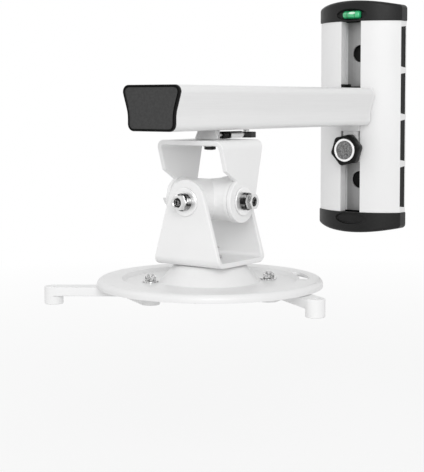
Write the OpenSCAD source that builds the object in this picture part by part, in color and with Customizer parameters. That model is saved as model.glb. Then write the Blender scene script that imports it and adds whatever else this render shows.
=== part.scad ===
// Wall mount with a sliding arm and a tilting head, in millimetres.
// The wall is the plane y = 0, the arm reaches towards -Y, and +Z is up.
// The origin is the middle of the rail's back, between its two screw holes.

/* [Wall rail] */
// Width of the rail across the wall
rail_w = 100; // [90:1:120]
// Length of the rail between its end caps
rail_len = 209; // [200:1:300]
// Distance from the wall to the middle of the rail's front
rail_depth = 35; // [34:1:42]
// Height of the rail's flat sides off the wall
rail_side = 13; // [12:0.5:16]
// Wall of the rail's front, sides and inner ribs
rail_wall = 2.4; // [2:0.1:3]
// Thickness of the rail's back plate
back_wall = 3; // [2.5:0.5:4]
// Width of the slot down the rail's front
slot_w = 24; // [22:1:28]
// Depth of the slot's lips
lip_depth = 11; // [9:0.5:12]
// Width of the channel behind the lips
channel_w = 40; // [36:1:44]
// Depth of the channel behind the lips
channel_depth = 10.5; // [9:0.5:11]
// Distance between the two wall screws
screw_pitch = 140; // [110:5:160]
// Hole for a wall screw
wall_hole_d = 6.5; // [5:0.5:8]
// Opening in the channel floor that lets a screw head through
access_hole_d = 19; // [15:0.5:22]
// Number of openings down each side of the rail
window_count = 4; // [3:1:5]
// Width of the tab between two side openings
window_tab = 5.8; // [5:0.2:8]
// Thickness of the plastic strip behind the side openings
liner_t = 2; // [1.5:0.1:2.5]

/* [End caps] */
// Height of a cap at its middle
cap_h = 22.5; // [20:0.5:30]
// How far a cap stands out past the rail
cap_over = 1; // [0.5:0.1:2]
// Fall of a cap's end from its middle to its sides
cap_crown = 5.5; // [3:0.5:7]
// Rounding of a cap's edge
cap_round = 3.5; // [2:0.5:4]
// Length of the oval recess in a cap
recess_w = 36; // [30:1:40]
// Height of the oval recess in a cap
recess_h = 12.6; // [11:0.2:14]
// Distance from the rail's end to the middle of the recess
recess_up = 7; // [6.5:0.5:9]
// Diameter of the level vial
vial_d = 9; // [7:0.5:10]
// Length of the level vial
vial_len = 21.5; // [18:0.5:24]

/* [Arm] */
// Reach from the wall to the face of the arm's end cap
arm_reach = 383; // [360:1:500]
// Distance from the wall to the arm's root
arm_root = 41; // [40.5:0.5:46]
// Height of the arm's profile
arm_h = 40.5; // [38:0.5:46]
// Distance of the arm's underside below the middle of its carriage
arm_drop = 9; // [8:0.5:12]
// Width across the arm's upper lobes
arm_top_w = 63; // [60:0.5:70]
// Width across the arm's foot
arm_foot_w = 52; // [50:0.5:56]
// Rounding of the upper lobes
lobe_r = 6; // [5:0.5:8]
// Rounding of the lower corners
foot_r = 6.5; // [5:0.5:8]
// Lean of the flanks below the lobes, in degrees
flank_lean = 17; // [15:1:22]
// Radius that turns the flanks upright
flank_r = 30; // [20:1:40]
// Wall of the arm
arm_wall = 2.4; // [2:0.1:3]
// Width of the slot along the arm's underside
arm_slot_w = 13; // [12:0.5:14]
// Width of the channel above that slot
arm_channel_w = 26; // [24:0.5:28]
// Height of the channel above that slot
arm_channel_h = 9; // [8:0.5:10]
// Thickness of the lips beside that slot
arm_lip_t = 3; // [2.5:0.5:4]
// Screw thread in the arm's ports
port_screw_d = 4; // [3.5:0.5:5]
// Thickness of the end cap's plate
end_cap_t = 3; // [2:0.5:5]

/* [Carriage and clamp] */
// Thickness of the carriage's flange behind the arm
flange_t = 4.7; // [4:0.1:5]
// Drop of the clamp knob's axis below the middle of the carriage
knob_drop = 36; // [34:1:42]
// Diameter of the clamp knob
knob_d = 35; // [30:1:38]
// Thickness of the clamp knob
knob_t = 11; // [9:0.5:14]
// Lobes round the knob
knob_lobes = 6; // [6:1:8]
// Diameter of the clamp screw
clamp_screw_d = 8; // [6:1:10]
// Outer diameter of the bright ring in the knob
ring_d = 25.2; // [22:0.2:26]
// Width of the bright ring
ring_w = 2.6; // [2:0.2:3]

/* [Head] */
// Distance from the wall to the pan axis
pan_reach = 296; // [260:1:330]
// Gap between the arm's underside and the upper yoke
head_gap = 9; // [8.5:0.5:14]
// Width of the upper yoke
upper_w = 73.4; // [72:0.2:80]
// Depth of the upper yoke along the arm
upper_d = 68; // [64:1:76]
// Depth of the lower yoke along the arm
lower_d = 74; // [72:1:80]
// Width of the lower yoke at its base
lower_w = 73; // [68:1:80]
// Thickness of the yokes' plate
yoke_t = 4.5; // [4:0.5:5]
// Outer radius of the yokes' bends
bend_r = 8; // [7:0.5:10]
// Distance from the top of the upper yoke to the tilt axis
tilt_drop = 55.2; // [54:0.2:64]
// Distance from the tilt axis to the bottom of the lower yoke
base_drop = 58.8; // [57:0.2:66]
// Radius of the yokes' tips round the pivots
tip_r = 20; // [18:0.5:21]
// Outer diameter of the cross tubes
cross_d = 38; // [34:0.5:39]
// Wall of the cross tubes
cross_wall = 3.5; // [3:0.5:5]
// Diameter of the pivot bolts
pivot_bolt_d = 8; // [6:1:10]
// Diameter of the pan bolt
pan_bolt_d = 6; // [5:1:8]
// Diameter of the turning bolt above the base plate
turn_bolt_d = 10; // [8:1:12]

/* [Base plate] */
// Diameter of the round base plate
plate_d = 209; // [190:1:240]
// Thickness of the pressed sheet
plate_t = 2.5; // [2:0.1:3]
// Diameter of the dome's flat top
dome_top_d = 66; // [60:1:70]
// Slope of the dome's flank, in degrees
dome_lean = 50; // [45:1:60]
// Height of the dome over the sunk field
dome_h = 16.7; // [15:0.1:18]
// Diameter of the sunk field round the dome
field_d = 156; // [152:1:157]
// Step from the sunk field up to the rim
field_step = 3.3; // [2:0.1:4]
// Height of the turned-down rim
rim_h = 7.3; // [7:0.1:10]
// Rounding of the rim's shoulder
rim_r = 5; // [4:0.5:6]
// Length of the curved cable opening in the rim, in degrees
opening_span = 30; // [20:1:40]

/* [Legs] */
// Distance from a leg's pivot to the middle of its foot
leg_len = 90; // [85:1:120]
// Width of a leg
leg_w = 17.5; // [16:0.5:20]
// Thickness of a leg
leg_t = 8; // [7.5:0.5:9]
// Hole through a leg's foot
foot_hole_d = 5; // [4:0.5:6]
// Distance of the legs' pivots from the turning axis
leg_ring_r = 55.5; // [55.5:0.5:60]
// Direction of the first pivot in degrees; the second is opposite
pivot_turn = 45; // [40:1:50]
// Diameter of the legs' clamp screws
leg_screw_d = 6; // [5:1:6]
// Direction of the left upper leg, in degrees
left_upper_turn = 212; // [195:1:240]
// Direction of the left lower leg, in degrees
left_lower_turn = 150; // [120:1:165]
// Direction of the right upper leg, in degrees
right_upper_turn = -30; // [-60:1:-15]
// Direction of the right lower leg, in degrees
right_lower_turn = 100; // [70:1:130]

/* [Fits] */
// Gap between faces that turn or slide past each other
face_gap = 0.3; // [0.2:0.05:0.4]
// Gap beside a sliding piece
slide_gap = 0.2; // [0.15:0.05:0.3]
// Radial clearance of a turning pin
pin_gap = 0.05; // [0.03:0.01:0.08]

/* [Hidden] */
$fn = 96;
tiny = 0.01;

// Rail: an arc bulges the front between the two flat sides
front_r = (pow(rail_w / 2, 2) + pow(rail_depth - rail_side, 2)) / (2 * (rail_depth - rail_side));
function front_y(x) = sqrt(front_r * front_r - x * x) - front_r + rail_depth;
lip_y = front_y(slot_w / 2) - lip_depth;
floor_y = lip_y - channel_depth;
shelf_t = 2.2;
window_margin = 5.5;
window_edge = 0.6;
window_back = 1.6;
window_slant = 1.2;
window_pitch = (rail_len - 2 * window_margin + window_tab) / window_count;
window_len = window_pitch - window_tab;
cap_plug = 6;
cap_wall = 2.5;
cap_pocket = 6.5;
crown_r = (pow(rail_w / 2, 2) + cap_crown * cap_crown) / (2 * cap_crown);
recess_depth = 5;
vial_seat = 0.1;

// Arm: heights of the profile over the middle of the carriage
arm_bottom = -arm_drop;
arm_top = arm_bottom + arm_h;
channel_floor = arm_bottom + arm_lip_t;
channel_roof = channel_floor + arm_channel_h;
port_r = port_screw_d / 2 + 2;
upper_port_x = arm_top_w / 2 - 15.5;
upper_port_z = arm_top - arm_wall - port_r + 0.6;
lower_port_x = arm_foot_w / 2 - port_r - 1;
lower_port_z = arm_bottom + arm_wall + port_r;
port_screw_len = 14;
end_plug_len = 8;

// Carriage and knob
neck_w = 17.6;
head_top = arm_top - 0.5;
head_bottom = -knob_drop - 14;
shoulder_z = arm_bottom - 6.5;
neck_face = rail_depth - 0.5;
pad_d = 14;
pad_t = 2;
knob_back = rail_depth + 1.3;
knob_face = knob_back + knob_t;
ring_depth = 1.2;
ring_proud = 0.6;
knob_turn = 12;
grip_r = 42;
grip_depth = 1.8;

// Head: heights down the pan axis
yoke_top = arm_bottom - head_gap;
tilt_z = yoke_top - tilt_drop;
yoke_base = tilt_z - base_drop;
pan_nut_t = 3;
pan_end = 0.3;
pan_nut_af = 10;
washer_t = 1.5;
pivot_washer_d = 26;
sleeve_d = 16;
sleeve_len = 5.6;
pivot_nut_af = 13;
pivot_nut_t = 6;
plug_t = 8;
collar_w = 4;
collar_h = 0.8;
cross_x = upper_w / 2 - yoke_t - face_gap;
cross_y = lower_d / 2 - yoke_t - face_gap;
shoe_w = 26;
shoe_rear_w = 12.6;
shoe_front = 6;
shoe_lean = 3.4;
shoe_rear = 7;
rod_d = 4;
rod_z = yoke_top + 3.7;
sleeve_rod_d = 6.6;
rod_inset = 3.2;
slim_af = 6.6;
slim_nut_t = 1.4;
lock_nut_t = 8;
lock_nut_gap = 11;
nut_spacing = 1.6;
stop_y = pan_reach - 59;
stop_af = 14;
stop_h = 5.6;
stop_shift = 2.5;
stop_bolt_d = 6;

// Base plate: heights down the turning axis
dome_z = yoke_base - face_gap;
field_z = dome_z - dome_h;
rim_z = field_z + field_step;
rim_bottom = rim_z - rim_h;
turn_washer_d = 22;
turn_washer_t = 2;
turn_nut_t = 8;
turn_nut_af = 17;
turn_head_t = 6;
step_w = 3.6;
shoulder_r = 8;
valley_r = 3;
opening_r = 87;
opening_w = 8.5;

// Legs: two levels under the base plate, feet ending on one plane
upper_leg_z = rim_bottom - 0.5;
lower_leg_z = upper_leg_z - leg_t - face_gap;
leg_end_z = lower_leg_z - leg_t;
hub_top = field_z - plate_t - face_gap;
leg_nut_t = 4.5;
leg_nut_af = 10;
leg_washer_d = 15;
leg_head_d = 11;
leg_head_t = 3.5;
leg_pocket = 4;
leg_head_z = leg_end_z + leg_pocket - face_gap;

white = [0.93, 0.93, 0.92];
silver = [0.86, 0.86, 0.87];
black = [0.1, 0.1, 0.1];
steel = [0.72, 0.73, 0.75];
chrome = [0.8, 0.8, 0.82];

// Points along an arc, from one angle to another
function arc(cx, cy, r, from, to, steps = 8) =
    [for (i = [0:steps]) let (a = from + (to - from) * i / steps) [cx + r * cos(a), cy + r * sin(a)]];

// Angle at which a line from p touches a circle round the origin; side is 1 or -1
function touch(p, r, side) = atan2(p[1], p[0]) + side * acos(r / norm(p));

function flip(points) = [for (i = [len(points) - 1:-1:0]) [-points[i][0], points[i][1]]];

module along_x() rotate([90, 0, 90]) children();
module along_y() rotate([90, 0, 0]) children();

// A rod along +X from x = from to x = to
module rod_x(d, from, to) translate([from, 0, 0]) rotate([0, 90, 0]) cylinder(d = d, h = to - from);

// A rod along -Y, from a distance off the wall to a larger one
module rod_y(d, from, to) translate([0, -from, 0]) rotate([90, 0, 0]) cylinder(d = d, h = to - from);

module hexagon(af) circle(d = af / cos(30), $fn = 6);

// The rail's outline, grown by e on its front and sides
module rail_outline(e) intersection() {
    translate([0, front_r - rail_depth]) circle(r = front_r + e, $fn = 180);
    translate([-rail_w / 2 - e, -rail_depth - e]) square([rail_w + 2 * e, rail_depth + e]);
}

module rail_ribs() {
    for (s = [-1, 1]) scale([s, 1]) {
        translate([slot_w / 2, -rail_depth]) square([rail_wall, rail_depth - lip_y]);
        translate([slot_w / 2, -lip_y - shelf_t + tiny])
            square([(channel_w - slot_w) / 2 + rail_wall, shelf_t]);
        translate([channel_w / 2, -lip_y - shelf_t]) square([rail_wall, lip_y + shelf_t - back_wall + tiny]);
    }
    translate([-channel_w / 2 - tiny, -floor_y]) square([channel_w + 2 * tiny, shelf_t]);
}

module rail_section() difference() {
    rail_outline(0);
    difference() {
        intersection() {
            rail_outline(-rail_wall);
            translate([-rail_w / 2, -rail_depth]) square([rail_w, rail_depth - back_wall]);
        }
        rail_ribs();
    }
    translate([-slot_w / 2, -rail_depth - 1]) square([slot_w, rail_depth + 1 - lip_y]);
}

// One side opening in the plane of the rail's side, made smaller by e
module window(e) polygon([
    [-rail_side + window_edge + e, -window_len / 2 + window_slant + e],
    [-rail_side + window_edge + e, window_len / 2 - window_slant - e],
    [-window_back - e, window_len / 2 - e],
    [-window_back - e, -window_len / 2 + e]
]);

module window_row(e, x, depth) for (i = [0:window_count - 1])
    translate([x, 0, (i - (window_count - 1) / 2) * window_pitch]) along_x() linear_extrude(depth) window(e);

module wall_rail() color(white) difference() {
    translate([0, 0, -rail_len / 2]) linear_extrude(rail_len) rail_section();
    for (s = [0, 1]) mirror([s, 0, 0])
        window_row(0, rail_w / 2 - rail_wall - 2 * slide_gap, rail_wall + 2 * slide_gap + 1);
    for (s = [-1, 1]) translate([0, 0, s * screw_pitch / 2]) {
        rod_y(wall_hole_d, -1, back_wall + 1);
        rod_y(access_hole_d, back_wall + tiny, floor_y + 1);
    }
}

module side_liner() {
    inner = rail_w / 2 - rail_wall - slide_gap;
    translate([inner - liner_t, -rail_side + window_edge + 0.5, -rail_len / 2])
        cube([liner_t, rail_side - window_edge - 0.5 - back_wall, rail_len]);
    window_row(slide_gap, inner - tiny, rail_wall - 0.3);
}

module right_liner() color(black) side_liner();
module left_liner() color(black) mirror([1, 0, 0]) side_liner();

module cap_crown_bar(top) translate([0, 1, top - crown_r]) along_y()
    cylinder(r = crown_r, h = rail_depth + 10, $fn = 240);

// A cap over the rail's upper end, standing on z = 0
module cap_shell() {
    steps = 4;
    difference() {
        hull() for (i = [0:steps]) intersection() {
            linear_extrude(cap_h) rail_outline(cap_over - cap_round * (1 - sin(90 * i / steps)), $fn = 64);
            cap_crown_bar(cap_h - cap_round * (1 - cos(90 * i / steps)));
        }
        translate([0, 0, -tiny]) linear_extrude(cap_pocket) intersection() {
            rail_outline(-rail_wall - cap_wall);
            translate([-rail_w / 2, -rail_depth]) square([rail_w, rail_depth - back_wall]);
        }
        translate([0, -rail_depth - cap_over + recess_depth, recess_up]) along_y()
            linear_extrude(recess_depth + 5) polygon(
                [for (i = [0:47]) [recess_w / 2 * cos(7.5 * i), recess_h / 2 * sin(7.5 * i)]]);
    }
    plug_in = channel_w / 2 + rail_wall + 1;
    plug_out = rail_w / 2 - rail_wall - liner_t - slide_gap - 1;
    for (s = [-1, 1]) scale([s, 1, 1])
        translate([plug_in, -rail_side, -cap_plug])
            cube([plug_out - plug_in, rail_side - back_wall - slide_gap, cap_plug + 4]);
}

vial_y = rail_depth + cap_over - recess_depth;
module vial_axis() translate([0, -vial_y, rail_len / 2 + recess_up]) rotate([0, 90, 0]) children();

module top_cap() color(black) difference() {
    translate([0, 0, rail_len / 2]) cap_shell();
    vial_axis() cylinder(d = vial_d + 2 * vial_seat, h = vial_len + 2 * vial_seat, center = true);
}

module bottom_cap() color(black) translate([0, 0, -rail_len / 2]) mirror([0, 0, 1]) cap_shell();

module level_vial() color([0.35, 0.8, 0.2]) vial_axis() {
    cylinder(d = vial_d, h = vial_len - 2, center = true);
    for (s = [-1, 1]) translate([0, 0, s * (vial_len - 2) / 2])
        cylinder(d = vial_d - 2, h = 2, center = true);
}

// The arm's profile, made smaller by e: lobes, leaning flanks, feet
function arm_half(e) =
    let (
        lobe = [arm_top_w / 2 - lobe_r, arm_top - lobe_r],
        leave = lobe + (lobe_r - e) * [cos(flank_lean), -sin(flank_lean)],
        bend = flank_r + e,
        start_x = arm_foot_w / 2 - e + bend * (1 - cos(flank_lean)),
        start_z = leave[1] - (leave[0] - start_x) / tan(flank_lean),
        upright_z = start_z - bend * sin(flank_lean)
    ) concat(
        arc(lobe[0], lobe[1], lobe_r - e, 90, -flank_lean, 12),
        arc(arm_foot_w / 2 - e + bend, upright_z, bend, 180 - flank_lean, 180, 5),
        arc(arm_foot_w / 2 - foot_r, arm_bottom + foot_r, foot_r - e, 0, -90, 10)
    );

module arm_outline(e) polygon(concat(arm_half(e), flip(arm_half(e))));

module port_places() for (s = [-1, 1]) {
    translate([s * upper_port_x, upper_port_z]) children();
    translate([s * lower_port_x, lower_port_z]) children();
}

module arm_channel_walls() {
    translate([-arm_foot_w / 2, channel_roof]) square([arm_foot_w, 2]);
    for (s = [-1, 1]) scale([s, 1])
        translate([arm_channel_w / 2, arm_bottom + tiny]) square([2, channel_roof - arm_bottom]);
    translate([-arm_channel_w / 2, arm_bottom + tiny]) square([arm_channel_w, arm_lip_t - tiny]);
}

module arm_section() difference() {
    arm_outline(0);
    difference() {
        arm_outline(arm_wall);
        arm_channel_walls();
        port_places() circle(r = port_r, $fn = 48);
    }
    port_places() circle(d = port_screw_d, $fn = 48);
    translate([-arm_slot_w / 2, arm_bottom - 1]) square([arm_slot_w, arm_lip_t + 1]);
}

module arm_tube() color(silver) translate([0, -arm_root, 0]) along_y()
    linear_extrude(arm_reach - end_cap_t - arm_root) arm_section();

module arm_end_cap() color(black) {
    difference() {
        translate([0, -arm_reach + end_cap_t, 0]) along_y() linear_extrude(end_cap_t) arm_outline(0);
        translate([0, -arm_reach + 0.5, 0]) along_y() linear_extrude(end_cap_t) arm_outline(1.8);
    }
    plug_w = 2 * (upper_port_x - port_r) - 1;
    plug_z = channel_roof + 2 + slide_gap;
    translate([-plug_w / 2, -arm_reach + end_cap_t - tiny, plug_z])
        cube([plug_w, end_plug_len, arm_top - arm_wall - slide_gap - plug_z]);
}

module arm_screw() {
    cylinder(d1 = 2 * port_screw_d, d2 = port_screw_d, h = port_screw_d / 2, $fn = 48);
    cylinder(d = port_screw_d, h = port_screw_len, $fn = 48);
}

module arm_screw_places() translate([0, -arm_root + flange_t, 0]) along_y() port_places() children();

module arm_screws() color(steel) arm_screw_places() arm_screw();

// T-shaped block that runs in the rail, with the flange that carries the arm
module carriage_block() color(white) difference() {
    union() {
        translate([0, -arm_root + flange_t, 0]) along_y() linear_extrude(flange_t) arm_outline(0);
        translate([-slot_w / 2 + face_gap, -arm_root + flange_t - tiny, shoulder_z])
            cube([slot_w - 2 * face_gap, arm_root - flange_t - lip_y + tiny, head_top - shoulder_z]);
        translate([-neck_w / 2, -neck_face, -knob_drop])
            cube([neck_w, neck_face - lip_y, knob_drop + shoulder_z + tiny]);
        translate([0, 0, -knob_drop]) rod_y(neck_w, lip_y - 1, neck_face);
        translate([-channel_w / 2 + face_gap, -lip_y + slide_gap, head_bottom])
            cube([channel_w - 2 * face_gap, channel_depth - face_gap - slide_gap, head_top - head_bottom]);
        translate([-neck_w / 2, -lip_y - 1, -knob_drop]) cube([neck_w, 2, knob_drop]);
    }
    translate([0, 0, -knob_drop]) rod_y(clamp_screw_d + 2 * pin_gap, 0, arm_root);
    translate([0, 0, -knob_drop]) rod_y(pad_d + 2 * slide_gap, 0, floor_y + face_gap + pad_t);
    arm_screw_places() arm_screw();
}

// Plastic guide on top of the carriage, with an ear in the slot
module carriage_glide() color(black) {
    translate([-channel_w / 2 + face_gap, -lip_y + slide_gap, head_top])
        cube([channel_w - 2 * face_gap, channel_depth - face_gap - slide_gap, 2.5]);
    translate([-slot_w / 2 + face_gap, -neck_face, head_top]) cube([5.5, neck_face - lip_y + 1, 4.8]);
}

module clamp_pad() color(black) translate([0, 0, -knob_drop])
    rod_y(pad_d, floor_y + face_gap, floor_y + face_gap + pad_t - pin_gap);

module clamp_screw() color(steel) translate([0, 0, -knob_drop])
    rod_y(clamp_screw_d, floor_y + face_gap + pad_t + pin_gap, knob_face - 3);

// Circle with one almost flat grip between two lobes
module knob_profile() rotate(knob_turn) difference() {
    circle(d = knob_d);
    for (i = [0:knob_lobes - 1]) rotate(360 * (i + 0.5) / knob_lobes)
        translate([knob_d / 2 + grip_r - grip_depth, 0]) circle(r = grip_r, $fn = 360);
}

module clamp_knob() color(black) difference() {
    translate([0, -knob_back, -knob_drop]) along_y() intersection() {
        linear_extrude(knob_t) knob_profile();
        rotate_extrude() polygon([
            [0, 0], [knob_d / 2 - 0.8, 0], [knob_d / 2, 0.8], [knob_d / 2, knob_t - 1.4],
            [knob_d / 2 - 1.4, knob_t], [0, knob_t]
        ]);
    }
    translate([0, 0, -knob_drop]) {
        rod_y(clamp_screw_d, knob_back - 1, knob_face - 3);
        rod_y(ring_d, knob_face - ring_depth, knob_face + 1);
    }
}

module knob_ring() color(chrome) translate([0, 0, -knob_drop]) difference() {
    rod_y(ring_d, knob_face - ring_depth, knob_face + ring_proud);
    rod_y(ring_d - 2 * ring_w, knob_face - ring_depth - 1, knob_face + 2);
}

module knob_disc() color([0.5, 0.5, 0.5]) translate([0, 0, -knob_drop])
    rod_y(ring_d - 2 * ring_w, knob_face - ring_depth, knob_face - 0.4);

// Everything on the pan axis is drawn round the origin and moved there
module at_pan() translate([0, -pan_reach, 0]) children();

// White shoe between the arm and the upper yoke: its ends lean, and it narrows towards the wall
module arm_shoe() color(white) at_pan() difference() {
    foot = yoke_top + slide_gap;
    head = arm_bottom - slide_gap;
    intersection() {
        translate([0, shoe_rear, 0]) along_y() linear_extrude(shoe_rear + shoe_front) polygon([
            [-shoe_w / 2, foot + 1], [-shoe_w / 2 + 1, foot], [shoe_w / 2 - 1, foot], [shoe_w / 2, foot + 1],
            [shoe_w / 2 - shoe_lean, head], [-shoe_w / 2 + shoe_lean, head]
        ]);
        translate([0, 0, foot]) linear_extrude(head - foot) polygon([
            [-shoe_w / 2, -shoe_front], [shoe_w / 2, -shoe_front], [shoe_rear_w / 2, shoe_rear],
            [-shoe_rear_w / 2, shoe_rear]
        ]);
    }
    translate([0, 0, yoke_top - 1]) cylinder(d = pan_bolt_d, h = head_gap + 2);
    translate([0, 0, rod_z]) rod_y(rod_d, -shoe_rear - 1, -rod_inset);
}

// T-head that hangs in the arm's channel
module slot_head(len, thick) translate([-arm_channel_w / 2 + face_gap, -len / 2, channel_floor + slide_gap])
    cube([arm_channel_w - 2 * face_gap, len, thick]);

pan_stack = yoke_top - yoke_t - face_gap;

module pan_bolt() color(steel) at_pan() {
    slot_head(20, 5);
    translate([0, 0, pan_stack - washer_t - pan_nut_t - pan_end])
        cylinder(
            d = pan_bolt_d, h = channel_floor + slide_gap + tiny - pan_stack + washer_t + pan_nut_t + pan_end
        );
}

module pan_washer() color(steel) at_pan() translate([0, 0, pan_stack - washer_t]) difference() {
    cylinder(d = 2.2 * pan_bolt_d, h = washer_t);
    translate([0, 0, -1]) cylinder(d = pan_bolt_d, h = washer_t + 2);
}

module pan_nut() color(black) at_pan() translate([0, 0, pan_stack - washer_t - pan_nut_t]) difference() {
    linear_extrude(pan_nut_t) rotate(15) hexagon(pan_nut_af);
    translate([0, 0, -1]) cylinder(d = pan_bolt_d, h = pan_nut_t + 2);
}

rod_start = pan_reach - rod_inset;
rod_end = stop_y + stop_bolt_d / 2 + 0.5;
module adjuster_rod() color(steel) translate([0, 0, rod_z]) rod_y(rod_d, rod_end, rod_start);

lock_nut_end = pan_reach - shoe_rear - lock_nut_gap;
slim_nut_end = lock_nut_end - lock_nut_t - nut_spacing;
sleeve_end = slim_nut_end - slim_nut_t - nut_spacing / 2;
sleeve_start = stop_y - stop_shift + stop_af / 2 / cos(30) + 2 * nut_spacing;
module adjuster_sleeve() color([0.6, 0.6, 0.62]) translate([0, 0, rod_z]) difference() {
    rod_y(sleeve_rod_d, sleeve_start, sleeve_end);
    rod_y(rod_d, sleeve_start - 1, sleeve_end + 1);
}

// Two slim nuts that lock the rod
module adjuster_nuts() color(black) translate([0, 0, rod_z]) difference() {
    union() {
        translate([0, slim_nut_t - slim_nut_end, 0]) along_y() linear_extrude(slim_nut_t) hexagon(slim_af);
        translate([0, lock_nut_t - lock_nut_end, 0]) along_y() linear_extrude(lock_nut_t) hexagon(slim_af);
    }
    rod_y(rod_d, sleeve_end - 1, pan_reach);
}

stop_z = yoke_top + 2 * slide_gap;
module at_stop() translate([0, -stop_y, 0]) children();

module stop_block() color(black) difference() {
    at_stop() difference() {
        translate([0, stop_shift, stop_z]) linear_extrude(stop_h) rotate(30) hexagon(stop_af);
        translate([0, 0, stop_z - 1]) cylinder(d = stop_bolt_d, h = stop_h + 2);
    }
    translate([0, 0, rod_z]) rod_y(rod_d, rod_end, rod_end + stop_af);
}

module stop_bolt() color(steel) at_stop() {
    slot_head(14, 4);
    translate([0, 0, stop_z]) cylinder(d = stop_bolt_d, h = channel_floor + slide_gap + tiny - stop_z);
}

// Bent section of a yoke: a plate with two turned flanges, open downwards
module bent_section(w, h, r) {
    translate([-w / 2, -h]) square([w, h - r]);
    translate([-w / 2 + r, -h]) square([w - 2 * r, h]);
    for (s = [-1, 1]) translate([s * (w / 2 - r), -r]) circle(r = r);
}

module yoke_section(w, h) difference() {
    bent_section(w, h, bend_r);
    translate([0, -yoke_t]) bent_section(w - 2 * yoke_t, h, bend_r - yoke_t);
}

// Flange outline of the upper yoke round a pivot at the origin; the near corner is cut away
module upper_outline() {
    corner = [upper_d / 2, tilt_drop];
    polygon(concat(
        [[-upper_d / 2, tilt_drop + 1], [upper_d / 2, tilt_drop + 1], corner],
        arc(0, 0, tip_r, touch(corner, tip_r, -1), 115 - 360, 36),
        [[-upper_d / 2 + 9, tilt_drop / 2], [-upper_d / 2, tilt_drop]]
    ));
}

module upper_yoke() color(white) at_pan() difference() {
    intersection() {
        translate([0, upper_d, yoke_top]) along_y() linear_extrude(2 * upper_d)
            yoke_section(upper_w, tilt_drop + tip_r);
        translate([-upper_w, 0, tilt_z]) along_x() linear_extrude(2 * upper_w) upper_outline();
    }
    translate([0, 0, tilt_z]) rod_x(pivot_bolt_d + 2 * pin_gap, -upper_w, upper_w);
    translate([0, 0, yoke_top - yoke_t - 1]) cylinder(d = pan_bolt_d + 2 * pin_gap, h = yoke_t + 2);
}

module lower_outline() {
    corner = [lower_w / 2, -base_drop + 5];
    from = touch(corner, tip_r, 1);
    polygon(concat(
        [[-lower_w / 2, -base_drop - 1], [lower_w / 2, -base_drop - 1], corner],
        arc(0, 0, tip_r, from, 180 - from, 24),
        [[-corner[0], corner[1]]]
    ));
}

module lower_yoke() color(white) at_pan() difference() {
    intersection() {
        translate([-lower_w, 0, yoke_base]) along_x() linear_extrude(2 * lower_w)
            mirror([0, 1]) yoke_section(lower_d, base_drop + tip_r);
        translate([0, lower_d, tilt_z]) along_y() linear_extrude(2 * lower_d) lower_outline();
    }
    translate([0, 0, tilt_z]) rod_y(pivot_bolt_d + 2 * pin_gap, -lower_d, lower_d);
    translate([0, 0, yoke_base - 1]) cylinder(d = turn_bolt_d + 2 * pin_gap, h = yoke_t + 2);
}

module at_cross() at_pan() translate([0, 0, tilt_z]) children();

module tube_x(half) {
    rod_x(cross_d, -half, half);
    for (s = [-1, 1]) scale([s, 1, 1]) rod_x(cross_d + 2 * collar_h, half - collar_w, half);
}

module cross_tube() color(white) at_cross() difference() {
    union() {
        tube_x(cross_x);
        rotate(90) tube_x(cross_y);
    }
    rod_x(cross_d - 2 * cross_wall, -cross_x - 1, cross_x + 1);
    rod_y(cross_d - 2 * cross_wall, -cross_y - 1, cross_y + 1);
}

module both_ends(half) {
    translate([half, 0, 0]) children();
    mirror([1, 0, 0]) translate([half, 0, 0]) children();
}

module plug() translate([-plug_t, 0, 0]) difference() {
    rod_x(cross_d - 2 * cross_wall, 0, plug_t);
    rod_x(pivot_bolt_d, -1, plug_t + 1);
}

module cross_plugs() color(steel) at_cross() {
    both_ends(cross_x) plug();
    rotate(90) both_ends(cross_y) plug();
}

// Bolt, washer, sleeve and nut stand outside a flange whose outer face is at x = 0
washer_in = face_gap;
washer_out = washer_in + washer_t;
sleeve_out = washer_out + sleeve_len;
nut_out = sleeve_out + pivot_nut_t;

module pivot_bolt() rod_x(pivot_bolt_d, -yoke_t - face_gap - plug_t - 2, nut_out - 0.6);

module pivot_ring(d, from, to) difference() {
    rod_x(d, from, to);
    rod_x(pivot_bolt_d, from - 1, to + 1);
}

module pivot_nut() difference() {
    translate([sleeve_out, 0, 0]) along_x() linear_extrude(pivot_nut_t) hexagon(pivot_nut_af);
    rod_x(pivot_bolt_d, sleeve_out - 1, nut_out + 1);
}

module tilt_ends() at_cross() both_ends(upper_w / 2) children();
module roll_ends() at_cross() rotate(90) both_ends(lower_d / 2) children();

module tilt_bolts() color(steel) tilt_ends() pivot_bolt();
module tilt_washers() color(white) tilt_ends() pivot_ring(pivot_washer_d, washer_in, washer_out);
module tilt_sleeves() color(chrome) tilt_ends() pivot_ring(sleeve_d, washer_out, sleeve_out);
module tilt_nuts() color(chrome) tilt_ends() pivot_nut();
module roll_bolts() color(steel) roll_ends() pivot_bolt();
module roll_washers() color(white) roll_ends() pivot_ring(pivot_washer_d, washer_in, washer_out);
module roll_sleeves() color(chrome) roll_ends() pivot_ring(sleeve_d, washer_out, sleeve_out);
module roll_nuts() color(chrome) roll_ends() pivot_nut();

// Half of the pressed plate's section, from the axis outwards, moved e into the sheet
function plate_edge(e) =
    let (
        bend_x = dome_top_d / 2 - 4.3,
        bends = shoulder_r + valley_r,
        valley_x = bend_x + bends * sin(dome_lean) + (dome_h - bends * (1 - cos(dome_lean))) / tan(dome_lean)
    ) concat(
        [[0, dome_z - e]],
        arc(bend_x, dome_z - shoulder_r, shoulder_r - e, 90, 90 - dome_lean, 5),
        arc(valley_x, field_z + valley_r, valley_r + e, 270 - dome_lean, 270, 5),
        [[field_d / 2 + 0.3 * e, field_z - e], [field_d / 2 + step_w + 0.3 * e, rim_z - e]],
        arc(plate_d / 2 - rim_r, rim_z - rim_r, rim_r - e, 90, 0, 8)
    );

// Round end of the curved opening, at angle a
function bend_end(a, start) =
    arc(opening_r * cos(a), opening_r * sin(a), opening_w / 2, a + start + 15, a + start + 165, 8);

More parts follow.
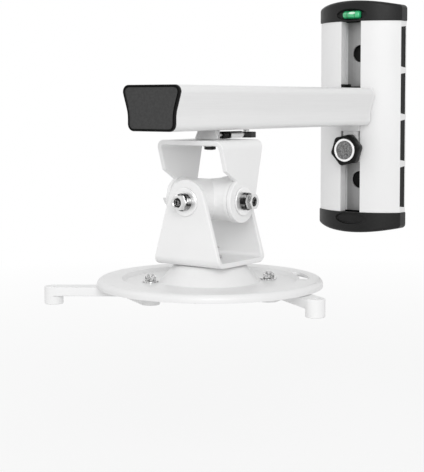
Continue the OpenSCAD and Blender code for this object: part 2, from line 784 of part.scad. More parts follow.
module base_plate() color(white) at_pan() difference() {
    rotate_extrude($fn = 180) difference() {
        polygon(concat(plate_edge(0), [[plate_d / 2, rim_bottom], [0, rim_bottom]]));
        polygon(concat(
            plate_edge(plate_t),
            [[plate_d / 2 - plate_t, rim_bottom - 1], [-1, rim_bottom - 1], [-1, dome_z - plate_t]]
        ));
    }
    translate([0, 0, dome_z - 10]) cylinder(d = turn_bolt_d, h = 20);
    leg_pivots() translate([0, 0, field_z - 10]) cylinder(d = leg_screw_d, h = 20);
    rotate(40) translate([0, 0, rim_z - 5]) linear_extrude(10) polygon(concat(
        arc(0, 0, opening_r + opening_w / 2, -opening_span / 2, opening_span / 2, 12),
        bend_end(opening_span / 2, 0),
        arc(0, 0, opening_r - opening_w / 2, opening_span / 2, -opening_span / 2, 12),
        bend_end(-opening_span / 2, 180)
    ));
}

turn_stack = yoke_base + yoke_t + face_gap;

module turn_bolt() color(steel) at_pan() {
    translate([0, 0, dome_z - plate_t - turn_head_t]) cylinder(d = 2 * turn_bolt_d, h = turn_head_t);
    translate([0, 0, dome_z - plate_t - tiny])
        cylinder(d = turn_bolt_d, h = turn_stack + turn_washer_t + turn_nut_t + 2.5 - dome_z + plate_t);
}

module turn_washer() color(steel) at_pan() translate([0, 0, turn_stack]) difference() {
    cylinder(d = turn_washer_d, h = turn_washer_t);
    translate([0, 0, -1]) cylinder(d = turn_bolt_d, h = turn_washer_t + 2);
}

module turn_nut() color(steel) at_pan() translate([0, 0, turn_stack + turn_washer_t]) difference() {
    linear_extrude(turn_nut_t) hexagon(turn_nut_af);
    translate([0, 0, -1]) cylinder(d = turn_bolt_d, h = turn_nut_t + 2);
}

module leg_pivots() for (a = [0, 180]) rotate(pivot_turn + a) translate([leg_ring_r, 0, 0]) children();

module leg_screws() color(steel) at_pan() leg_pivots() {
    translate([0, 0, leg_head_z - leg_head_t]) cylinder(d = leg_head_d, h = leg_head_t);
    translate([0, 0, leg_head_z - tiny])
        cylinder(d = leg_screw_d, h = field_z + washer_t + leg_nut_t + 1.5 - leg_head_z);
}

module leg_washers() color(steel) at_pan() leg_pivots() translate([0, 0, field_z]) difference() {
    cylinder(d = leg_washer_d, h = washer_t);
    translate([0, 0, -1]) cylinder(d = leg_screw_d, h = washer_t + 2);
}

module leg_nuts() color(steel) at_pan() leg_pivots() translate([0, 0, field_z + washer_t]) difference() {
    linear_extrude(leg_nut_t) rotate(10) hexagon(leg_nut_af);
    translate([0, 0, -1]) cylinder(d = leg_screw_d, h = leg_nut_t + 2);
}

// A leg whose pivot lies in direction side and whose foot points in direction turn
module leg(side, turn, top, hub) color(white) at_pan() rotate(side) translate([leg_ring_r, 0, 0])
    rotate(turn - side) difference() {
        union() {
            translate([0, -leg_w / 2, top - leg_t]) cube([leg_len, leg_w, leg_t]);
            translate([0, 0, top - leg_t]) cylinder(d = leg_w, h = hub - top + leg_t);
            translate([leg_len, 0, leg_end_z]) cylinder(d = leg_w, h = top - leg_end_z);
        }
        translate([0, 0, leg_end_z - 1]) cylinder(d = leg_screw_d + 2 * pin_gap, h = hub - leg_end_z + 2);
        translate([0, 0, leg_end_z - 1]) cylinder(d = leg_head_d + 1, h = leg_pocket + 1);
        translate([leg_len, 0, leg_end_z - 1]) cylinder(d = foot_hole_d, h = top - leg_end_z + 2);
    }

module left_upper_leg() leg(pivot_turn + 180, left_upper_turn, upper_leg_z, hub_top);
module left_lower_leg() leg(pivot_turn + 180, left_lower_turn, lower_leg_z, lower_leg_z);
module right_upper_leg() leg(pivot_turn, right_upper_turn, upper_leg_z, hub_top);
module right_lower_leg() leg(pivot_turn, right_lower_turn, lower_leg_z, lower_leg_z);

wall_rail();
top_cap();
bottom_cap();
level_vial();
left_liner();
right_liner();
carriage_block();
carriage_glide();
clamp_pad();
arm_screws();
arm_tube();
arm_end_cap();
clamp_knob();
clamp_screw();
knob_ring();
knob_disc();
arm_shoe();
pan_bolt();
pan_washer();
pan_nut();
adjuster_rod();
adjuster_sleeve();
adjuster_nuts();
stop_block();
stop_bolt();
upper_yoke();
cross_tube();
cross_plugs();
tilt_bolts();
tilt_washers();
tilt_sleeves();
tilt_nuts();
roll_bolts();
roll_washers();
roll_sleeves();
roll_nuts();
lower_yoke();
base_plate();
turn_bolt();
turn_washer();
turn_nut();
leg_screws();
leg_washers();
leg_nuts();
left_upper_leg();
left_lower_leg();
right_upper_leg();
right_lower_leg();
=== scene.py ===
"""Looks of a projector wall mount: a white rail with black caps, a sliding arm and a swivelling head."""

import math

import bmesh
import bpy
from mathutils import Matrix, Vector


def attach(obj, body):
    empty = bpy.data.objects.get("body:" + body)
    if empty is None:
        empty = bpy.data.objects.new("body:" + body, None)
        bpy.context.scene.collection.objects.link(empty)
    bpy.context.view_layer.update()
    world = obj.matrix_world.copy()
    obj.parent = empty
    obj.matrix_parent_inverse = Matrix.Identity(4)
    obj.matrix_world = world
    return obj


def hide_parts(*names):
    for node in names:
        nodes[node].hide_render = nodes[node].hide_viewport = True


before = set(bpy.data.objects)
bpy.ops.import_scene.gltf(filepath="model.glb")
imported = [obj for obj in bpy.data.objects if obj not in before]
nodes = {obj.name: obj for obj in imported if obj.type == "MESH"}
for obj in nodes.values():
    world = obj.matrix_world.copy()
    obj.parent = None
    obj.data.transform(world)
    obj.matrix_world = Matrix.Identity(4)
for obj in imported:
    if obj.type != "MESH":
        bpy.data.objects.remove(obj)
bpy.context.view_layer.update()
MM = 0.001


# Finishes

def new_finish(name, colour, rough, metal=0.0, coat=0.0, mirror=0.5):
    """A finish with its plain values set, ready for its grain."""
    finish = bpy.data.materials.new(name)
    finish.use_nodes = True
    shader = finish.node_tree.nodes["Principled BSDF"]
    shader.inputs["Base Color"].default_value = (*colour, 1)
    shader.inputs["Roughness"].default_value = rough
    shader.inputs["Metallic"].default_value = metal
    shader.inputs["Coat Weight"].default_value = coat
    shader.inputs["Coat Roughness"].default_value = 0.15
    shader.inputs["Specular IOR Level"].default_value = mirror
    return finish


def add_node(finish, kind, **values):
    node = finish.node_tree.nodes.new(kind)
    for key, value in values.items():
        setattr(node, key, value)
    return node


def join(finish, out, into):
    finish.node_tree.links.new(out, into)


def noise_on(finish, scale, stretch=(1, 1, 1), detail=3.0, rough=0.5):
    """Noise over the object's own coordinates; scale counts grains per metre."""
    place = add_node(finish, "ShaderNodeTexCoord")
    turn = add_node(finish, "ShaderNodeMapping")
    turn.inputs["Scale"].default_value = stretch
    noise = add_node(finish, "ShaderNodeTexNoise")
    noise.inputs["Scale"].default_value = scale
    noise.inputs["Detail"].default_value = detail
    noise.inputs["Roughness"].default_value = rough
    join(finish, place.outputs["Object"], turn.inputs["Vector"])
    join(finish, turn.outputs["Vector"], noise.inputs["Vector"])
    return noise.outputs["Fac"]


def shader_of(finish):
    return finish.node_tree.nodes["Principled BSDF"]


def vary_colour(finish, fac, dark, light, low=0.35, high=0.65):
    """The colour wanders between two shades."""
    ramp = add_node(finish, "ShaderNodeValToRGB")
    ramp.color_ramp.elements[0].position = low
    ramp.color_ramp.elements[0].color = (*dark, 1)
    ramp.color_ramp.elements[1].position = high
    ramp.color_ramp.elements[1].color = (*light, 1)
    join(finish, fac, ramp.inputs["Fac"])
    join(finish, ramp.outputs["Color"], shader_of(finish).inputs["Base Color"])


def vary_rough(finish, fac, smooth, rough):
    spread = add_node(finish, "ShaderNodeMapRange")
    spread.inputs["To Min"].default_value = smooth
    spread.inputs["To Max"].default_value = rough
    join(finish, fac, spread.inputs["Value"])
    join(finish, spread.outputs["Result"], shader_of(finish).inputs["Roughness"])


def raise_grain(finish, fac, height, strength=1.0):
    """Fine relief, its height in millimetres."""
    bump = add_node(finish, "ShaderNodeBump")
    bump.inputs["Distance"].default_value = height * MM
    bump.inputs["Strength"].default_value = strength
    join(finish, fac, bump.inputs["Height"])
    join(finish, bump.outputs["Normal"], shader_of(finish).inputs["Normal"])


def grey(v):
    return (v, v, v)


def powder_coat(name, shade, rough=0.38):
    """White powder coat with a faint orange peel."""
    coat = new_finish(name, grey(shade), rough)
    vary_colour(coat, noise_on(coat, 22, detail=2), grey(shade * 0.98), grey(shade))
    vary_rough(coat, noise_on(coat, 160), rough - 0.06, rough + 0.08)
    raise_grain(coat, noise_on(coat, 700, detail=1.5), 0.03, 0.5)
    return coat


def brushed(name, shade, rough, metal, stretch, depth=0.01, contrast=0.93):
    """Metal or pearl paint with fine lines along one direction."""
    metal_finish = new_finish(name, grey(shade), rough, metal)
    vary_colour(metal_finish, noise_on(metal_finish, 900, stretch), grey(shade * contrast), grey(shade))
    vary_rough(metal_finish, noise_on(metal_finish, 1400, stretch), rough * 0.8, rough * 1.25)
    raise_grain(metal_finish, noise_on(metal_finish, 1800, stretch), depth, 0.5)
    return metal_finish


def moulded(name, shade, rough, grain=0.05, scale=1500, mirror=0.25):
    """Black moulded plastic with a fine spark-eroded grain."""
    plastic = new_finish(name, grey(shade), rough, mirror=mirror)
    vary_colour(plastic, noise_on(plastic, 500, detail=4), grey(shade * 0.86), grey(shade * 1.12))
    vary_rough(plastic, noise_on(plastic, 240), rough - 0.08, rough + 0.08)
    raise_grain(plastic, noise_on(plastic, scale, detail=2), grain, 0.7)
    return plastic


def painted_reflection_chrome(name, stretch):
    """Polished chrome with painted reflections: a dark base and light streaks along a sleeve."""
    finish = new_finish(name, grey(0.2), 0.12, 1.0)
    vary_colour(finish, noise_on(finish, 330, stretch, detail=1), grey(0.02), grey(0.42), 0.46, 0.66)
    vary_rough(finish, noise_on(finish, 500), 0.08, 0.2)
    return finish


def mottled(name, dark, light, rough, metal, grains, relief):
    """Metal broken up into small dark and light patches."""
    finish = new_finish(name, grey(light), rough, metal)
    vary_colour(finish, noise_on(finish, grains, detail=1), grey(dark), grey(light), 0.42, 0.58)
    raise_grain(finish, noise_on(finish, grains, detail=1), relief)
    return finish


rail_paint = powder_coat("rail_paint", 0.84, 0.36)
cast_paint = powder_coat("cast_paint", 0.85, 0.38)
sheet_paint = powder_coat("sheet_paint", 0.85, 0.38)
plate_paint = powder_coat("plate_paint", 0.8, 0.34)
pearl_paint = brushed("pearl_paint", 0.82, 0.36, 0.15, (1, 0.02, 1), 0.006, 0.98)
# Darker grey metal for the channel's track, partly bare metal and partly painted shade down in the channel.
channel_metal_and_shade = brushed("channel_metal_and_shade", 0.5, 0.42, 0.5, (1, 1, 0.02))
# Near-black painted shade for the hollow inside of the rail, seen through its holes and side openings.
painted_shade_inside = brushed("painted_shade_inside", 0.03, 0.6, 0.3, (1, 1, 0.05))
cap_plastic = moulded("cap_plastic", 0.011, 0.4, mirror=0.22)
liner_plastic = moulded("liner_plastic", 0.006, 0.5, mirror=0.15)
rim_plastic = moulded("rim_plastic", 0.003, 0.35, mirror=0.12)
field_plastic = moulded("field_plastic", 0.042, 0.55)
knob_plastic = moulded("knob_plastic", 0.004, 0.3, 0.02, mirror=0.16)
ring_chrome = brushed("ring_chrome", 0.95, 0.22, 1.0, (1, 1, 1), 0.002, 0.99)
nut_chrome = brushed("nut_chrome", 0.74, 0.14, 1.0, (1, 1, 1), 0.002)
# The tilt and roll sleeves: dark chrome with painted reflection streaks running along each sleeve's axis.
tilt_chrome_painted_reflections = painted_reflection_chrome("tilt_chrome_painted_reflections", (0.06, 1, 1))
roll_chrome_painted_reflections = painted_reflection_chrome("roll_chrome_painted_reflections", (1, 0.06, 1))
bolt_dark = mottled("bolt_dark", 0.02, 0.3, 0.3, 1.0, 600, 0.03)
washer_bright = brushed("washer_bright", 0.93, 0.3, 0.5, (1, 1, 1), 0.004, 0.97)
zinc = brushed("zinc", 0.66, 0.3, 1.0, (1, 1, 1), 0.01)
screw_zinc = mottled("screw_zinc", 0.34, 0.88, 0.22, 1.0, 800, 0.05)
black_oxide = brushed("black_oxide", 0.012, 0.34, 0.4, (1, 1, 1), 0.01)
disc_grey = mottled("disc_grey", 0.07, 0.3, 0.45, 0.3, 1100, 0.2)
vial_green = new_finish("vial_green", (0.02, 0.46, 0.16), 0.08, coat=1.0)
vary_colour(vial_green, noise_on(vial_green, 120, detail=1), (0.012, 0.36, 0.12), (0.04, 0.56, 0.22))
bubble_pale = new_finish("bubble_pale", (0.62, 0.9, 0.7), 0.06, coat=1.0)
vary_colour(bubble_pale, noise_on(bubble_pale, 150, detail=1), (0.5, 0.84, 0.6), (0.75, 0.95, 0.8))
mark_black = moulded("mark_black", 0.01, 0.4)


# Shapes

def place(direction, x, y, z, turn=0.0):
    """Where a shape goes: its Z axis points in a direction, its origin is at x, y, z in millimetres."""
    lean = Vector(direction).to_track_quat("Z", "Y").to_matrix().to_4x4()
    return Matrix.Translation(Vector((x, y, z)) * MM) @ lean @ Matrix.Rotation(math.radians(turn), 4, "Z")


def spun(bm, profile, where, steps=64, closed=False):
    """Spin (radius, height) points round the Z axis; a closed profile makes a ring."""
    before = set(bm.verts)
    verts = [bm.verts.new((r * MM, 0, z * MM)) for r, z in profile]
    edges = [bm.edges.new(pair) for pair in zip(verts, verts[1:])]
    if closed:
        edges.append(bm.edges.new((verts[-1], verts[0])))
    bmesh.ops.spin(
        bm, geom=verts + edges, cent=(0, 0, 0), axis=(0, 0, 1), dvec=(0, 0, 0),
        angle=2 * math.pi, steps=steps, use_merge=True, use_duplicate=False,
    )
    bmesh.ops.remove_doubles(bm, verts=[v for v in bm.verts if v not in before], dist=1e-7)
    made = [v for v in bm.verts if v not in before]
    bmesh.ops.transform(bm, matrix=where, verts=made)
    return made


def ring(bm, inner, outer, low, high, where, round_off=0.3, steps=64):
    """A washer or a sleeve with broken edges."""
    c = round_off
    spun(bm, [
        (inner, low + c), (inner + c, low), (outer - c, low), (outer, low + c),
        (outer, high - c), (outer - c, high), (inner + c, high), (inner, high - c),
    ], where, steps, closed=True)


def bolt_profile(radius, low, high, thread_from, pitch=1.0, chamfer=0.8, socket=0.0):
    """Half of a bolt's section, threaded from a height to its upper end, which may have a round socket."""
    depth = 0.55 * pitch
    points = [(0, low), (radius - 0.2, low), (radius, low + 0.2), (radius, thread_from)]
    z = thread_from
    while z + pitch < high - chamfer:
        points += [(radius - depth, z + pitch / 2), (radius, z + pitch)]
        z += pitch
    points += [(radius - chamfer, high)]
    if socket:
        points += [(socket + 0.2, high), (socket, high - 0.2), (socket, high - 2.2), (0, high - 2.8)]
    else:
        points += [(0, high)]
    return points


def nut(bm, across, bore, thick, where, steps=48, sink=0.5):
    """A hexagon nut with its corners turned off and its bore countersunk."""
    flat = across / 2
    land = flat * 0.95
    made = spun(bm, [
        (bore, sink), (bore + sink, 0), (land, 0), (flat, 0.2),
        (flat, thick - 0.2), (land, thick), (bore + sink, thick), (bore, thick - sink),
    ], Matrix.Identity(4), steps, closed=True)
    for v in made:
        radius = math.hypot(v.co.x, v.co.y) / MM
        if radius > land + 0.01:
            angle = math.degrees(math.atan2(v.co.y, v.co.x)) % 60
            out = flat / math.cos(math.radians(angle - 30))
            drop = (out - land) * math.tan(math.radians(30))
            v.co.x *= out / radius
            v.co.y *= out / radius
            v.co.z = (drop if v.co.z < thick * MM / 2 else thick - drop) * MM
    bmesh.ops.transform(bm, matrix=where, verts=made)


def settle(name, bm, body, finish, replaced=(), sharp=32):
    """Make the shape a piece that rides on a body and stands for CAD nodes."""
    bmesh.ops.recalc_face_normals(bm, faces=bm.faces)
    mesh = bpy.data.meshes.new(name)
    bm.to_mesh(mesh)
    bm.free()
    mesh.materials.append(finish)
    return settle_mesh(name, mesh, body, replaced, sharp)


def settle_mesh(name, mesh, body, replaced=(), sharp=32):
    for face in mesh.polygons:
        face.use_smooth = True
    mesh.set_sharp_from_angle(angle=math.radians(sharp))
    piece = bpy.data.objects.new(name, mesh)
    bpy.context.scene.collection.objects.link(piece)
    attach(piece, body)
    if replaced:
        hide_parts(*replaced)
    return piece


def even_shading(piece):
    """Large flat faces keep flat shading beside their rounded edges."""
    weigh = piece.modifiers.new("even_shading", "WEIGHTED_NORMAL")
    weigh.keep_sharp = True
    weigh.weight = 80


def merged_copy(node):
    """The CAD solid's mesh as a bmesh, merged and with its flat faces made whole."""
    bm = bmesh.new()
    bm.from_mesh(nodes[node].data)
    bmesh.ops.remove_doubles(bm, verts=bm.verts, dist=2e-6)
    bmesh.ops.dissolve_limit(
        bm, angle_limit=math.radians(0.4), verts=bm.verts, edges=bm.edges, use_dissolve_boundaries=False,
    )
    return bm


def soften(bm, width, segments=2, least=28, shortest=0.0):
    """Round the edges that turn by more than an angle."""
    edges = [
        e for e in bm.edges
        if e.is_manifold and e.calc_face_angle(0) > math.radians(least) and e.calc_length() > shortest * MM
    ]
    bmesh.ops.bevel(
        bm, geom=edges, offset=width * MM, offset_type="OFFSET", affect="EDGES", segments=segments,
        profile=0.5, material=-1, clamp_overlap=False, loop_slide=True,
    )


def dressed(node, body, finish, width=0.4, segments=2, least=28, others=(), cuts=()):
    """A finished copy of a CAD solid, its edges rounded; others are more finishes with their places."""
    bm = merged_copy(node)
    for x in cuts:
        floor_faces = [f for f in bm.faces if abs(f.calc_center_median().y / MM - FLOOR_Y) < 0.05]
        around = {e for f in floor_faces for e in f.edges}
        corners = {v for f in floor_faces for v in f.verts}
        bmesh.ops.bisect_plane(
            bm, geom=floor_faces + list(around) + list(corners), plane_co=(x * MM, 0, 0), plane_no=(1, 0, 0),
        )
    if width:
        soften(bm, width, segments, least)
    mesh = bpy.data.meshes.new(node + "_finished")
    bm.to_mesh(mesh)
    bm.free()
    mesh.materials.clear()
    mesh.materials.append(finish)
    for index, (other, belongs) in enumerate(others, 1):
        mesh.materials.append(other)
        for face in mesh.polygons:
            if belongs(face.center / MM, face.normal):
                face.material_index = index
    piece = settle_mesh(node + "_finished", mesh, body, (node,))
    even_shading(piece)
    return piece


def paint(finish, *names):
    """Give CAD nodes that stay a better finish."""
    for name in names:
        nodes[name].data.materials.clear()
        nodes[name].data.materials.append(finish)


# Rail
FRONT_MIDDLE, FRONT_R = 32.8, 67.8
SLOT_HALF, CHANNEL_HALF, TRACK_HALF = 12.0, 20.0, 15.6
LIP_Y, FLOOR_Y, WEB_BACK = -22.9, -12.4, -10.2


def on_track(at, normal):
    """The bare metal track down the channel's floor, and the rims of the screw holes in it; its darker grey is
    partly painted shade down in the channel.
    """
    return abs(at.x) < TRACK_HALF and FLOOR_Y - 0.2 < at.y < WEB_BACK - 0.3


def in_channel(at):
    return abs(at.x) < CHANNEL_HALF + 0.5 and LIP_Y - 0.3 < at.y < WEB_BACK - 0.3


def in_cavity(at, normal):
    """The hollow sides and back of the rail, which daylight hardly reaches, painted near-black as shade."""
    inside = math.hypot(at.x, at.y - FRONT_MIDDLE) < FRONT_R - 1.2 and abs(at.x) < 48.6 and at.y < -0.5
    behind = at.y > FLOOR_Y + 0.3 or abs(at.x) > SLOT_HALF + 0.8
    return inside and behind and abs(at.z) < 104 and not in_channel(at)


dressed("wall_rail", "rail", rail_paint, 0.25, others=(
    (channel_metal_and_shade, on_track), (painted_shade_inside, in_cavity),
), cuts=(-TRACK_HALF, TRACK_HALF))
dressed("top_cap", "rail", cap_plastic, 0.8, 3)
dressed("bottom_cap", "rail", cap_plastic, 0.8, 3)
paint(liner_plastic, "left_liner", "right_liner")

VIAL_Z = 111.5
along_x = place((1, 0, 0), 0, -31, VIAL_Z)
bm = bmesh.new()
spun(bm, [(0, -10.7), (2.4, -10.6), (3.6, -10.0), (4.3, -8.8), (4.5, -7.4), (4.5, 7.4), (4.3, 8.8), (3.6, 10.0),
          (2.4, 10.6), (0, 10.7)], along_x, 48)
settle("vial_glass", bm, "rail", vial_green, ("level_vial",))
bm = bmesh.new()
bmesh.ops.create_uvsphere(bm, u_segments=32, v_segments=16, radius=1.0)
bmesh.ops.scale(bm, vec=(4.2 * MM, 0.9 * MM, 1.5 * MM), verts=bm.verts)
bmesh.ops.translate(bm, vec=Vector((1.5, -35.0, VIAL_Z + 1.6)) * MM, verts=bm.verts)
settle("vial_bubble", bm, "rail", bubble_pale)
bm = bmesh.new()
for x in (-4.6, 4.6):
    ring(bm, 4.4, 4.58, x - 0.3, x + 0.3, along_x, 0.06, 48)
settle("vial_marks", bm, "rail", mark_black)

# Carriage and clamp
dressed("carriage_block", "carriage", cast_paint, 0.4)
paint(liner_plastic, "carriage_glide", "clamp_pad")
paint(zinc, "arm_screws", "clamp_screw")

KNOB_BACK, KNOB_T, KNOB_R, KNOB_Z = -36.3, 11.0, 17.5, -36.0
LOBES, LOBE_TURN, GRIP_R, GRIP_DEPTH = 6, 12, 160.0, 1.9
to_room = place((0, -1, 0), 0, KNOB_BACK, KNOB_Z)
bm = bmesh.new()
spun(bm, [
    (0, 0), (15.6, 0), (16.9, 0.5), (17.5, 1.4), (17.5, 9.0), (17.2, 10.0), (16.4, 10.7), (15.2, 11), (12.9, 11),
    (12.7, 10.8), (12.7, 9.8), (0, 9.8),
], Matrix.Identity(4), 180)
for v in bm.verts:
    radius = math.hypot(v.co.x, v.co.y) / MM
    if radius > 15.0:
        turned = math.degrees(math.atan2(v.co.y, v.co.x)) - LOBE_TURN
        angle = math.radians(turned % (360 / LOBES) - 180 / LOBES)
        away = KNOB_R + GRIP_R - GRIP_DEPTH
        side = away * math.sin(angle)
        reach = away * math.cos(angle) - math.sqrt(max(GRIP_R ** 2 - side ** 2, 0))
        grip = min(KNOB_R, reach) / KNOB_R
        v.co.x *= grip
        v.co.y *= grip
bmesh.ops.transform(bm, matrix=to_room, verts=bm.verts)
settle("clamp_knob_grip", bm, "knob", knob_plastic, ("clamp_knob",), 40)
bm = bmesh.new()
ring(bm, 10.0, 12.6, KNOB_T - 1.2, KNOB_T + 0.6, to_room, 0.5, 96)
settle("knob_bright_ring", bm, "knob", ring_chrome, ("knob_ring",))
bm = bmesh.new()
spun(bm, [(0, 9.9), (9.9, 9.9), (9.9, 10.5), (9.6, 10.65), (6, 10.75), (0, 10.8)], to_room, 96)
settle("knob_grey_disc", bm, "knob", disc_grey, ("knob_disc",))

# Arm
dressed("arm_tube", "carriage", pearl_paint, 0.25)
dressed("arm_end_cap", "carriage", rim_plastic, 0.8, 3, 40, others=((
    field_plastic, lambda at, normal: normal.y < -0.9 and at.y > -382.8 and abs(at.x) < 25,
),))

# Shoe, rod and stop under the arm
PAN_Y, ROD_Z, STOP_Y = -296.0, -14.3, -237.0
dressed("arm_shoe", "slider", cast_paint, 0.5)
paint(zinc, "adjuster_rod", "adjuster_sleeve", "pan_bolt", "stop_bolt")
dressed("stop_block", "slider", black_oxide, 0.4)
bm = bmesh.new()
ring(bm, 3.1, 6.6, 0, 1.5, place((0, 0, 1), 0, PAN_Y, -24.3), 0.3)
settle("pan_washer_finished", bm, "slider", zinc, ("pan_washer",))
bm = bmesh.new()
nut(bm, 10, 3.05, 3, place((0, 0, 1), 0, PAN_Y, -27.3, 15), sink=0.4)
settle("pan_nut_finished", bm, "slider", black_oxide, ("pan_nut",))
bm = bmesh.new()
nut(bm, 6.6, 2.05, 1.4, place((0, -1, 0), 0, -267, ROD_Z), sink=0.3)
nut(bm, 6.6, 2.05, 8, place((0, -1, 0), 0, -270, ROD_Z), sink=0.3)
settle("adjuster_nuts_finished", bm, "slider", black_oxide, ("adjuster_nuts",))

# Head
dressed("upper_yoke", "upper_fork", sheet_paint, 0.8, 3)
dressed("cross_tube", "cross", cast_paint, 0.5, 2)
paint(zinc, "cross_plugs")
dressed("lower_yoke", "lower_fork", sheet_paint, 0.8, 3)

TILT_Z, TILT_FACE, ROLL_FACE = -73.2, 36.7, 37.0
bolts = {part: {"tilt": bmesh.new(), "roll": bmesh.new()} for part in ("bolts", "washers", "sleeves", "nuts")}
for kind, face in (("tilt", TILT_FACE), ("roll", ROLL_FACE)):
    for side in (1, -1):
        if kind == "tilt":
            where = place((side, 0, 0), side * face, PAN_Y, TILT_Z)
        else:
            where = place((0, side, 0), 0, PAN_Y + side * face, TILT_Z)
        ring(bolts["washers"][kind], 4.05, 13.0, 0.3, 1.8, where, 0.4)
        spun(bolts["sleeves"][kind], [
            (4.05, 1.8), (7.2, 1.8), (8.0, 2.4), (8.0, 3.6), (7.6, 3.9), (7.6, 4.4), (8.0, 4.7), (8.0, 6.6),
            (7.0, 7.4), (4.05, 7.4),
        ], where, 64, closed=True)
        nut(bolts["nuts"][kind], 13, 4.05, 6, where @ Matrix.Translation((0, 0, 7.4 * MM)), sink=0.7)
        spun(bolts["bolts"][kind], bolt_profile(4.0, -14.8, 12.8, 7.0, 1.25, socket=2.3), where, 48)
for kind, chrome in (("tilt", tilt_chrome_painted_reflections), ("roll", roll_chrome_painted_reflections)):
    settle(kind + "_bolts_finished", bolts["bolts"][kind], "cross", bolt_dark, (kind + "_bolts",))
    settle(kind + "_washers_finished", bolts["washers"][kind], "cross", washer_bright,
           (kind + "_washers",))
    settle(kind + "_sleeves_finished", bolts["sleeves"][kind], "cross", chrome,
           (kind + "_sleeves",))
    settle(kind + "_nuts_finished", bolts["nuts"][kind], "cross", nut_chrome, (kind + "_nuts",))

# Base plate
dressed("base_plate", "plate", plate_paint, 0.3, 2)
bm = bmesh.new()
ring(bm, 5.05, 11, 0, 2, place((0, 0, 1), 0, PAN_Y, -127.2), 0.4)
settle("turn_washer_finished", bm, "plate", zinc, ("turn_washer",))
bm = bmesh.new()
nut(bm, 17, 5.05, 8, place((0, 0, 1), 0, PAN_Y, -125.2, 10))
settle("turn_nut_finished", bm, "plate", zinc, ("turn_nut",))
bm = bmesh.new()
spun(bm, bolt_profile(5.0, -134.8, -114.7, -130, 1.5), place((0, 0, 1), 0, PAN_Y, 0), 48)
settle("turn_bolt_thread", bm, "plate", zinc)
paint(zinc, "turn_bolt")

screws, washers, nuts = bmesh.new(), bmesh.new(), bmesh.new()
for x, y in ((39.2, -256.8), (-39.2, -335.2)):
    ring(washers, 3.05, 7.5, 0, 1.5, place((0, 0, 1), x, y, -149), 0.3)
    nut(nuts, 10, 3.05, 4.5, place((0, 0, 1), x, y, -147.5, 10))
    spun(screws, bolt_profile(3.0, -149.4, -141.5, -149, 1.0, socket=1.6), place((0, 0, 1), x, y, 0), 40)
settle("leg_washers_finished", washers, "plate", screw_zinc, ("leg_washers",))
settle("leg_nuts_finished", nuts, "plate", screw_zinc, ("leg_nuts",))
settle("leg_screw_threads", screws, "plate", bolt_dark)
paint(zinc, "leg_screws")

for leg in ("left_upper", "left_lower", "right_upper", "right_lower"):
    dressed(leg + "_leg", leg, cast_paint, 0.8, 3)


# Stage

def looked_at(tree):
    """One for rays that come from the camera, a mirror or glass, and none for light."""
    path = tree.nodes.new("ShaderNodeLightPath")
    seen = tree.nodes.new("ShaderNodeMath")
    seen.operation = "MAXIMUM"
    seen_all = tree.nodes.new("ShaderNodeMath")
    seen_all.operation = "MAXIMUM"
    tree.links.new(path.outputs["Is Camera Ray"], seen.inputs[0])
    tree.links.new(path.outputs["Is Glossy Ray"], seen.inputs[1])
    tree.links.new(seen.outputs[0], seen_all.inputs[0])
    tree.links.new(path.outputs["Is Transmission Ray"], seen_all.inputs[1])
    return seen_all.outputs[0]


def blended(tree, fac, first, second, out):
    mix = tree.nodes.new("ShaderNodeMixShader")
    tree.links.new(fac, mix.inputs["Fac"])
    tree.links.new(first.outputs[0], mix.inputs[1])
    tree.links.new(second.outputs[0], mix.inputs[2])
    tree.links.new(mix.outputs[0], out.inputs["Surface"])


def pale_floor(name, near_share, near, far):
    """A matt floor that takes a shadow near the object and runs into the white background further out."""
    finish = bpy.data.materials.new(name)
    finish.use_nodes = True
    tree = finish.node_tree
    tree.nodes.clear()
    out = tree.nodes.new("ShaderNodeOutputMaterial")
    matt = tree.nodes.new("ShaderNodeBsdfDiffuse")
    matt.inputs["Color"].default_value = (0.78, 0.78, 0.78, 1)
    glow = tree.nodes.new("ShaderNodeEmission")
    spot = tree.nodes.new("ShaderNodeTexCoord")
    away = tree.nodes.new("ShaderNodeVectorMath")
    away.operation = "LENGTH"
    share = tree.nodes.new("ShaderNodeMapRange")
    for socket, value in (("From Min", near), ("From Max", far), ("To Min", near_share), ("To Max", 1.0)):
        share.inputs[socket].default_value = value
    shown = tree.nodes.new("ShaderNodeMath")
    shown.operation = "MULTIPLY"
    tree.links.new(spot.outputs["Object"], away.inputs[0])
    tree.links.new(away.outputs["Value"], share.inputs["Value"])
    tree.links.new(share.outputs["Result"], shown.inputs[0])
    tree.links.new(looked_at(tree), shown.inputs[1])
    blended(tree, shown.outputs[0], matt, glow, out)
    return finish


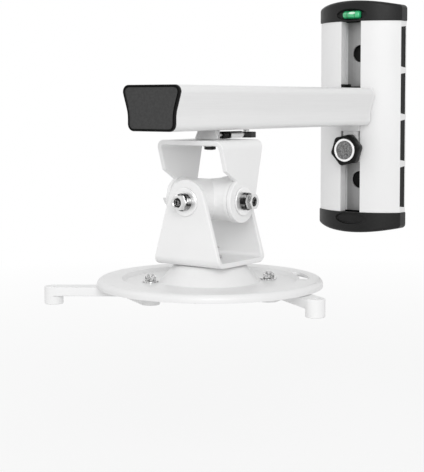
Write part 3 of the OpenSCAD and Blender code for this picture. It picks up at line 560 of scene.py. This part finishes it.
bm = bmesh.new()
bmesh.ops.create_circle(bm, cap_ends=True, segments=64, radius=4.0)
bmesh.ops.translate(bm, vec=(0, 0, -0.36), verts=bm.verts)
mesh = bpy.data.meshes.new("floor")
bm.to_mesh(mesh)
bm.free()
mesh.materials.append(pale_floor("floor_white", 0.8, 0.5, 1.6))
floor = bpy.data.objects.new("floor", mesh)
bpy.context.scene.collection.objects.link(floor)

world = bpy.data.worlds.new("studio")
bpy.context.scene.world = world
world.use_nodes = True
tree = world.node_tree
tree.nodes.clear()
light = tree.nodes.new("ShaderNodeBackground")
light.inputs["Strength"].default_value = 0.72
white = tree.nodes.new("ShaderNodeBackground")
white.inputs["Strength"].default_value = 1.0
for node in (light, white):
    node.inputs["Color"].default_value = (1, 1, 1, 1)
blended(tree, looked_at(tree), light, white, tree.nodes.new("ShaderNodeOutputWorld"))


def soft_light(name, azimuth, height, away, size, power):
    """A square soft box that points at the object's middle; azimuth is turned from the front to the right."""
    middle = Vector((0, -0.2, -0.05))
    turn, rise = math.radians(azimuth), math.radians(height)
    towards = Vector((math.sin(turn) * math.cos(rise), -math.cos(turn) * math.cos(rise), math.sin(rise)))
    lamp = bpy.data.lights.new(name, "AREA")
    lamp.shape = "SQUARE"
    lamp.size = size
    lamp.energy = power
    lamp_object = bpy.data.objects.new(name, lamp)
    lamp_object.location = middle + away * towards
    lamp_object.rotation_euler = (-towards).to_track_quat("-Z", "Y").to_euler()
    bpy.context.scene.collection.objects.link(lamp_object)


soft_light("key", 37, 20, 2.4, 1.3, 22)
soft_light("edge", -50, 35, 2.4, 1.0, 3)

camera = bpy.data.cameras.new("camera")
camera.sensor_fit = "VERTICAL"
camera.sensor_height = 36
camera.lens = 91.35
camera.shift_y = -61.49 / 472
camera.clip_start = 0.01
camera_object = bpy.data.objects.new("camera", camera)
camera_object.location = Vector((649.27, -1188.46, 17.18)) * MM
camera_object.rotation_euler = (math.radians(90 - 3.5), 0, math.radians(35.94))
bpy.context.scene.collection.objects.link(camera_object)
bpy.context.scene.camera = camera_object
bpy.context.scene.view_settings.view_transform = "Standard"
